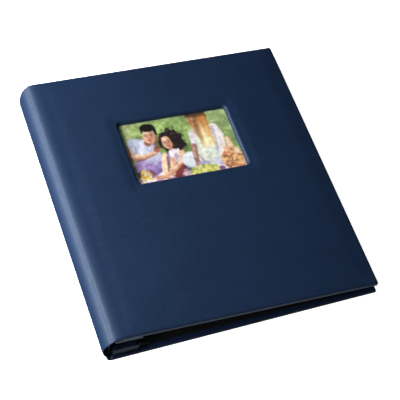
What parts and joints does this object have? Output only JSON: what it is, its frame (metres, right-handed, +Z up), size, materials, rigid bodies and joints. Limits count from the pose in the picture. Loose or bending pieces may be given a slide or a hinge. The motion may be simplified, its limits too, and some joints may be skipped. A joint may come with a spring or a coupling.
{
  "type": "scrapbook album",
  "caption": "Post-bound scrapbook album: padded leatherette cover with a rounded spine and a window for a print, and top-loading clear page sleeves with cards.",
  "frame": {"origin": "on the table, under the centre of the closed album's bounding box", "axes": "+X from the spine towards the fore edge, +Y from the tail (near end) towards the head, where the sleeves open, +Z up from the back cover"},
  "size_m": [0.265, 0.294, 0.0359],
  "materials": {
    "navy_leatherette": "satin bonded leather, fine grain",
    "grey_board": "plain grey board",
    "white_wadding": "soft polyester wadding",
    "black_paper": "matt black endpaper",
    "black_card": "matt black card",
    "clear_film": "clear glossy film",
    "black_strip": "satin black plastic",
    "photo_print": "semi-gloss photo print",
    "nickel_post": "nickel-plated steel"
  },
  "bodies": {
    "back_cover": {"back_cover_skin": "navy_leatherette", "back_cover_board": "grey_board", "back_endpaper": "black_paper", "back_binding_flap": "navy_leatherette", "page_1_binding_strip": "black_strip", "page_2_binding_strip": "black_strip", "page_3_binding_strip": "black_strip", "page_4_binding_strip": "black_strip", "page_5_binding_strip": "black_strip", "front_binding_strip": "navy_leatherette", "post_barrel_1": "nickel_post", "post_barrel_2": "nickel_post", "post_barrel_3": "nickel_post"},
    "spine": {"spine_skin": "navy_leatherette", "spine_liner": "navy_leatherette"},
    "front_cover": {"front_cover_skin": "navy_leatherette", "front_cover_padding": "white_wadding", "front_cover_board": "grey_board", "cover_photo": "photo_print", "front_endpaper": "black_paper", "front_hinge_lining": "navy_leatherette"},
    "page_1": {"page_1_sleeve": "clear_film"},
    "card_1": {"page_1_card": "black_card"},
    "page_2": {"page_2_sleeve": "clear_film"},
    "card_2": {"page_2_card": "black_card"},
    "page_3": {"page_3_sleeve": "clear_film"},
    "card_3": {"page_3_card": "black_card"},
    "page_4": {"page_4_sleeve": "clear_film"},
    "card_4": {"page_4_card": "black_card"},
    "page_5": {"page_5_sleeve": "clear_film"},
    "card_5": {"page_5_card": "black_card"},
    "screw_1": {"post_screw_1": "nickel_post"},
    "screw_2": {"post_screw_2": "nickel_post"},
    "screw_3": {"post_screw_3": "nickel_post"}
  },
  "joints": [
    {"name": "front_cover_open", "type": "hinge", "parent": "spine", "child": "front_cover", "pos_m": [-0.1253, 0, 0.0328], "axis": [0, -1, 0], "range_deg": [0, 95.4]},
    {"name": "spine_fold", "type": "hinge", "parent": "back_cover", "child": "spine", "pos_m": [-0.1292, 0, 0.004], "axis": [0, -1, 0], "range_deg": [0, 90]},
    {"name": "page_1_turn", "type": "hinge", "parent": "back_cover", "child": "page_1", "pos_m": [-0.0864, 0, 0.0059], "axis": [0, -1, 0], "range_deg": [0, 80]},
    {"name": "page_2_turn", "type": "hinge", "parent": "back_cover", "child": "page_2", "pos_m": [-0.0886, 0, 0.0069], "axis": [0, -1, 0], "range_deg": [0, 90]},
    {"name": "page_3_turn", "type": "hinge", "parent": "back_cover", "child": "page_3", "pos_m": [-0.0908, 0, 0.0079], "axis": [0, -1, 0], "range_deg": [0, 100]},
    {"name": "page_4_turn", "type": "hinge", "parent": "back_cover", "child": "page_4", "pos_m": [-0.093, 0, 0.0089], "axis": [0, -1, 0], "range_deg": [0, 110]},
    {"name": "page_5_turn", "type": "hinge", "parent": "back_cover", "child": "page_5", "pos_m": [-0.0952, 0, 0.0099], "axis": [0, -1, 0], "range_deg": [0, 120]},
    {"name": "card_1_slide", "type": "slide", "parent": "page_1", "child": "card_1", "axis": [0, 1, 0], "range_m": [0, 0.283]},
    {"name": "card_2_slide", "type": "slide", "parent": "page_2", "child": "card_2", "axis": [0, 1, 0], "range_m": [0, 0.283]},
    {"name": "card_3_slide", "type": "slide", "parent": "page_3", "child": "card_3", "axis": [0, 1, 0], "range_m": [0, 0.283]},
    {"name": "card_4_slide", "type": "slide", "parent": "page_4", "child": "card_4", "axis": [0, 1, 0], "range_m": [0, 0.283]},
    {"name": "card_5_slide", "type": "slide", "parent": "page_5", "child": "card_5", "axis": [0, 1, 0], "range_m": [0, 0.283]},
    {"name": "screw_1_lift", "type": "slide", "parent": "back_cover", "child": "screw_1", "axis": [0, 0, 1], "range_m": [0, 0.007]},
    {"name": "screw_2_lift", "type": "slide", "parent": "back_cover", "child": "screw_2", "axis": [0, 0, 1], "range_m": [0, 0.007]},
    {"name": "screw_3_lift", "type": "slide", "parent": "back_cover", "child": "screw_3", "axis": [0, 0, 1], "range_m": [0, 0.007]}
  ],
  "couplings": [
    {"joint": "spine_fold", "follows": "front_cover_open", "ratio": 0.943},
    {"joint": "page_1_turn", "follows": "front_cover_open", "ratio": 0.838},
    {"joint": "page_2_turn", "follows": "front_cover_open", "ratio": 0.943},
    {"joint": "page_3_turn", "follows": "front_cover_open", "ratio": 1.048},
    {"joint": "page_4_turn", "follows": "front_cover_open", "ratio": 1.153},
    {"joint": "page_5_turn", "follows": "front_cover_open", "ratio": 1.257}
  ]
}
